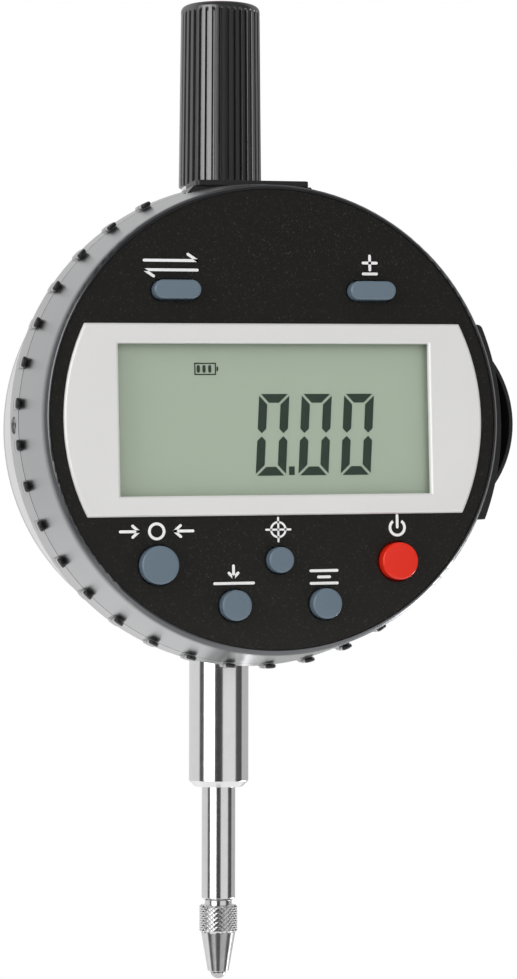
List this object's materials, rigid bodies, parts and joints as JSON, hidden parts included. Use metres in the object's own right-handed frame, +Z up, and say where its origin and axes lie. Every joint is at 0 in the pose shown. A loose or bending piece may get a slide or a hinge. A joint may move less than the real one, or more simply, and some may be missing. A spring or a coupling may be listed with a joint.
{
  "type": "digital indicator",
  "caption": "Plunger indicator with a round display head that turns on its housing, push buttons, battery drawer, sprung spindle and fluted cap.",
  "frame": {"origin": "centre of the stem's clamping wall, on the spindle axis", "axes": "+Z up along the spindle towards the cap, +Y out of the flat back, the display looks along -Y"},
  "size_m": [0.0674, 0.0357, 0.1313],
  "materials": {
    "housing_metal": "satin anodised",
    "cover_metal": "satin anodised",
    "stem_steel": "ground",
    "spindle_steel": "fine ground",
    "point_steel": "turned and knurled",
    "carbide": "polished",
    "bush_bronze": "turned",
    "cap_black": "satin, fluted",
    "screw_steel": "plain",
    "shell_grey": "fine texture",
    "bezel_grey": "fine texture",
    "face_black": "fine speckle",
    "pad_black": "fine texture",
    "frame_silver": "satin",
    "clear_pane": "clear",
    "panel_green": "liquid crystal panel",
    "stroke_dark": "lit strokes",
    "key_slate": "fine texture",
    "key_red": "fine texture",
    "board_green": "circuit board",
    "socket_cream": "moulded",
    "rubber_black": "moulded",
    "rubber_grey": "moulded",
    "lead_grey": "sleeved lead",
    "holder_white": "moulded",
    "contact_gold": "plated",
    "spring_steel": "drawn wire",
    "carrier_metal": "machined",
    "scale_glass": "etched scale",
    "cell_steel": "pressed"
  },
  "bodies": {
    "body": {"stem": "stem_steel", "lower_bush": "bush_bronze", "back_housing": "housing_metal", "rear_cover": "cover_metal", "rear_cover_screws": "screw_steel", "cap_neck": "stem_steel", "upper_bush": "bush_bronze", "swivel_hub": "carrier_metal", "retaining_ring": "carrier_metal", "small_screws": "screw_steel", "swivel_seal": "rubber_black", "guide_rail": "carrier_metal", "rail_screws": "screw_steel", "stop_buffer": "rubber_black", "spring_post": "screw_steel", "return_spring": "spring_steel", "reader_board": "board_green", "reader_posts": "socket_cream", "reader_socket": "socket_cream"},
    "spindle": {"spindle": "spindle_steel", "contact_point": "point_steel", "contact_ball": "carbide", "top_nut": "screw_steel", "scale_carrier": "carrier_metal", "carrier_screw": "screw_steel", "scale_strip": "scale_glass", "guide_pin": "spindle_steel", "spring_pin": "screw_steel"},
    "cap": {"fluted_cap": "cap_black"},
    "head": {"front_bezel": "bezel_grey", "rear_shell": "shell_grey", "shell_screws": "screw_steel", "stop_pin": "screw_steel", "set_screw": "screw_steel", "face_plate": "face_black", "display_frame": "frame_silver", "display_window": "clear_pane", "lcd_panel": "panel_green", "lcd_segments": "stroke_dark", "lcd_holder": "holder_white", "contact_strips": "rubber_grey", "main_board": "board_green", "board_screws": "screw_steel", "lead_socket": "socket_cream", "signal_lead": "lead_grey", "button_mats": "rubber_grey", "battery_contacts": "contact_gold", "battery_bezel": "pad_black", "port_contacts": "contact_gold"},
    "drawer": {"battery_drawer": "pad_black", "coin_cell": "cell_steel"},
    "port_lid": {"port_cover": "pad_black"},
    "key_units": {"button_units": "key_slate"},
    "key_sign": {"button_sign": "key_slate"},
    "key_zero": {"button_zero": "key_slate"},
    "key_origin": {"button_origin": "key_slate"},
    "key_preset": {"button_preset": "key_slate"},
    "key_limits": {"button_limits": "key_slate"},
    "key_power": {"button_power": "key_red"}
  },
  "joints": [
    {"name": "spindle_slide", "type": "slide", "parent": "body", "child": "spindle", "axis": [0, 0, 1], "range_m": [0, 0.0125], "stiffness_N_per_m": 40, "springref_m": -0.03, "deforming": ["return_spring"]},
    {"name": "head_turn", "type": "hinge", "parent": "body", "child": "head", "pos_m": [0, 0, 0.038], "axis": [0, 1, 0], "range_deg": [-90, 180]},
    {"name": "cap_pull", "type": "slide", "parent": "body", "child": "cap", "axis": [0, 0, 1], "range_m": [0, 0.025]},
    {"name": "drawer_slide", "type": "slide", "parent": "head", "child": "drawer", "axis": [0.9998, 0, 0.0218], "range_m": [0, 0.026]},
    {"name": "port_lid_lift", "type": "slide", "parent": "head", "child": "port_lid", "axis": [-0.0218, 0, 0.9998], "range_m": [0, 0.006]},
    {"name": "units_press", "type": "slide", "parent": "head", "child": "key_units", "axis": [0, 1, 0], "range_m": [0, 0.00035], "stiffness_N_per_m": 800, "springref_m": -0.0005},
    {"name": "sign_press", "type": "slide", "parent": "head", "child": "key_sign", "axis": [0, 1, 0], "range_m": [0, 0.00035], "stiffness_N_per_m": 800, "springref_m": -0.0005},
    {"name": "zero_press", "type": "slide", "parent": "head", "child": "key_zero", "axis": [0, 1, 0], "range_m": [0, 0.00035], "stiffness_N_per_m": 800, "springref_m": -0.0005},
    {"name": "origin_press", "type": "slide", "parent": "head", "child": "key_origin", "axis": [0, 1, 0], "range_m": [0, 0.00035], "stiffness_N_per_m": 800, "springref_m": -0.0005},
    {"name": "preset_press", "type": "slide", "parent": "head", "child": "key_preset", "axis": [0, 1, 0], "range_m": [0, 0.00035], "stiffness_N_per_m": 800, "springref_m": -0.0005},
    {"name": "limits_press", "type": "slide", "parent": "head", "child": "key_limits", "axis": [0, 1, 0], "range_m": [0, 0.00035], "stiffness_N_per_m": 800, "springref_m": -0.0005},
    {"name": "power_press", "type": "slide", "parent": "head", "child": "key_power", "axis": [0, 1, 0], "range_m": [0, 0.00035], "stiffness_N_per_m": 800, "springref_m": -0.0005}
  ]
}
